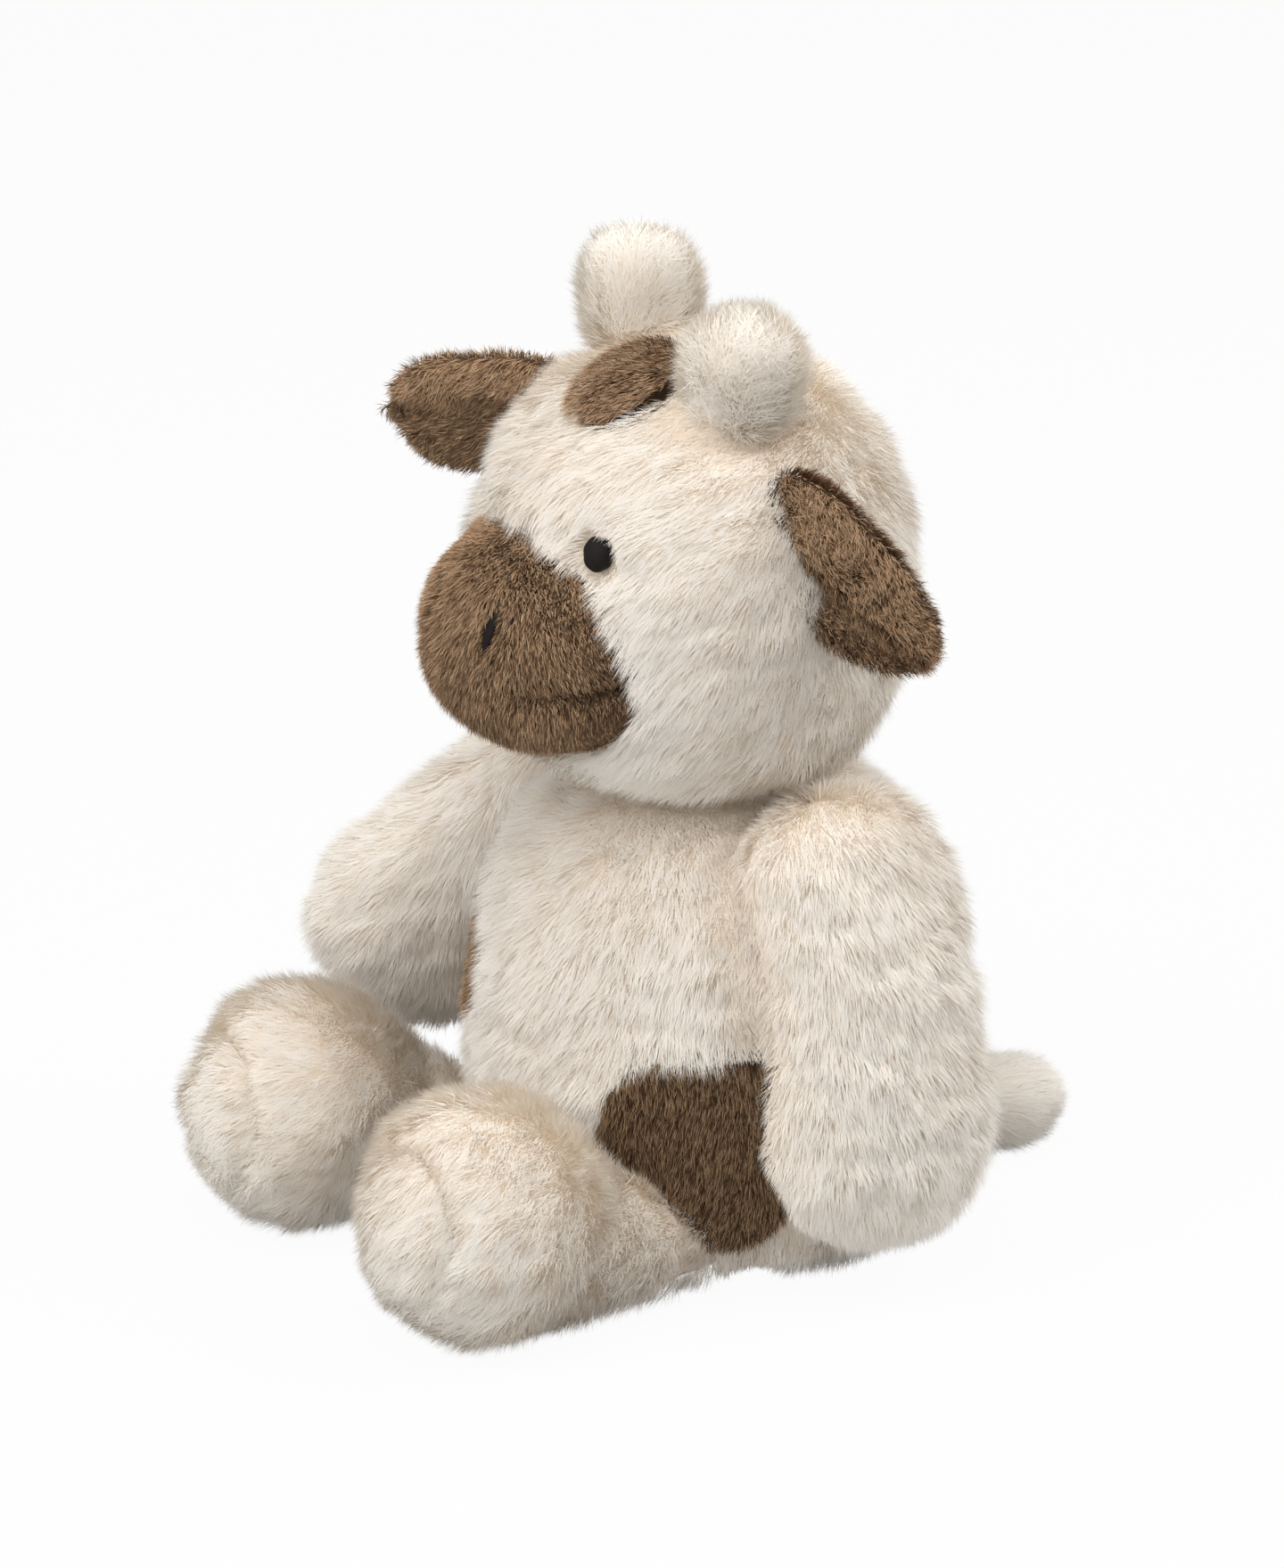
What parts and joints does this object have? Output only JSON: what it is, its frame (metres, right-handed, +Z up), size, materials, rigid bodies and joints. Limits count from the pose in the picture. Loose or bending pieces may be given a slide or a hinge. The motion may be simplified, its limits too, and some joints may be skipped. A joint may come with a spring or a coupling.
{
  "type": "plush cow",
  "caption": "Seated plush cow with cream pile, brown muzzle, ears and patches, stub horns and tail, and limbs that swing at their seams.",
  "frame": {"origin": "middle of the flat patch under the body that the cow sits on, on the floor", "axes": "+Z up, the cow faces -Y, its left side is +X"},
  "size_m": [0.1893, 0.2134, 0.2373],
  "materials": {
    "cream_pile": "soft cream pile, about 8 mm long",
    "brown_pile": "short brown pile with paler tips",
    "dark_brown_pile": "short dark brown pile with paler tips",
    "dark_thread": "satin stitched thread",
    "cream_thread": "gathered cloth and sewing thread",
    "wadding": "loose fibre filling",
    "pellet_cloth": "plain woven cloth bag"
  },
  "bodies": {
    "torso": {"body_cover": "cream_pile", "body_filling": "wadding", "pellet_bag": "pellet_cloth", "hip_patch_left": "dark_brown_pile", "side_patch_right": "brown_pile"},
    "neck": {"neck_seam": "cream_thread"},
    "head": {"head_cover": "cream_pile", "head_filling": "wadding", "forehead_patch": "brown_pile", "muzzle_panel": "brown_pile", "muzzle_filling": "wadding", "eye_left": "dark_thread", "eye_right": "dark_thread", "nostril_left": "dark_thread", "nostril_right": "dark_thread", "mouth_stitch": "dark_thread", "horn_cover_left": "cream_pile", "horn_filling_left": "wadding", "horn_cover_right": "cream_pile", "horn_filling_right": "wadding"},
    "ear_left": {"ear_front_left": "brown_pile", "ear_back_left": "brown_pile"},
    "ear_right": {"ear_front_right": "brown_pile", "ear_back_right": "brown_pile"},
    "arm_left": {"arm_cover_left": "cream_pile", "arm_filling_left": "wadding"},
    "arm_right": {"arm_cover_right": "cream_pile", "arm_filling_right": "wadding"},
    "leg_left": {"leg_cover_left": "cream_pile", "sole_left": "cream_pile", "leg_filling_left": "wadding"},
    "leg_right": {"leg_cover_right": "cream_pile", "sole_right": "cream_pile", "leg_filling_right": "wadding"},
    "tail": {"tail_cover": "cream_pile", "tail_filling": "wadding"}
  },
  "joints": [
    {"name": "neck_turn", "type": "hinge", "parent": "torso", "child": "neck", "pos_m": [0, 0, 0.11905], "axis": [0, 0, 1], "range_deg": [-14, 14], "stiffness_Nm_per_rad": 0.25},
    {"name": "neck_nod", "type": "hinge", "parent": "neck", "child": "head", "pos_m": [0, 0, 0.11905], "axis": [1, 0, 0], "range_deg": [-6, 5], "stiffness_Nm_per_rad": 0.8},
    {"name": "ear_left_flap", "type": "hinge", "parent": "head", "child": "ear_left", "pos_m": [0.04179, -0.0085, 0.19062], "axis": [0.532, 0.2234, 0.8167], "range_deg": [-15, 15], "stiffness_Nm_per_rad": 0.03},
    {"name": "ear_right_flap", "type": "hinge", "parent": "head", "child": "ear_right", "pos_m": [-0.03652, -0.0085, 0.19113], "axis": [-0.0087, -0.2921, 0.9563], "range_deg": [-15, 15], "stiffness_Nm_per_rad": 0.03},
    {"name": "shoulder_left", "type": "hinge", "parent": "torso", "child": "arm_left", "pos_m": [0.038, 0.003, 0.10662], "axis": [-0.5, -0.866, 0], "range_deg": [0, 41]},
    {"name": "shoulder_right", "type": "hinge", "parent": "torso", "child": "arm_right", "pos_m": [-0.038, 0.003, 0.10662], "axis": [-0.8796, 0.4756, 0], "range_deg": [-15, 2.5]},
    {"name": "hip_left", "type": "hinge", "parent": "torso", "child": "leg_left", "pos_m": [0.035, -0.004, 0.014], "axis": [0, 0, 1], "range_deg": [-2, 20]},
    {"name": "hip_right", "type": "hinge", "parent": "torso", "child": "leg_right", "pos_m": [-0.035, -0.004, 0.014], "axis": [0, 0, -1], "range_deg": [-4, 18]},
    {"name": "tail_wag", "type": "hinge", "parent": "torso", "child": "tail", "pos_m": [0, 0.0585, 0.02], "axis": [0, 0, 1], "range_deg": [-20, 20], "stiffness_Nm_per_rad": 0.03}
  ]
}
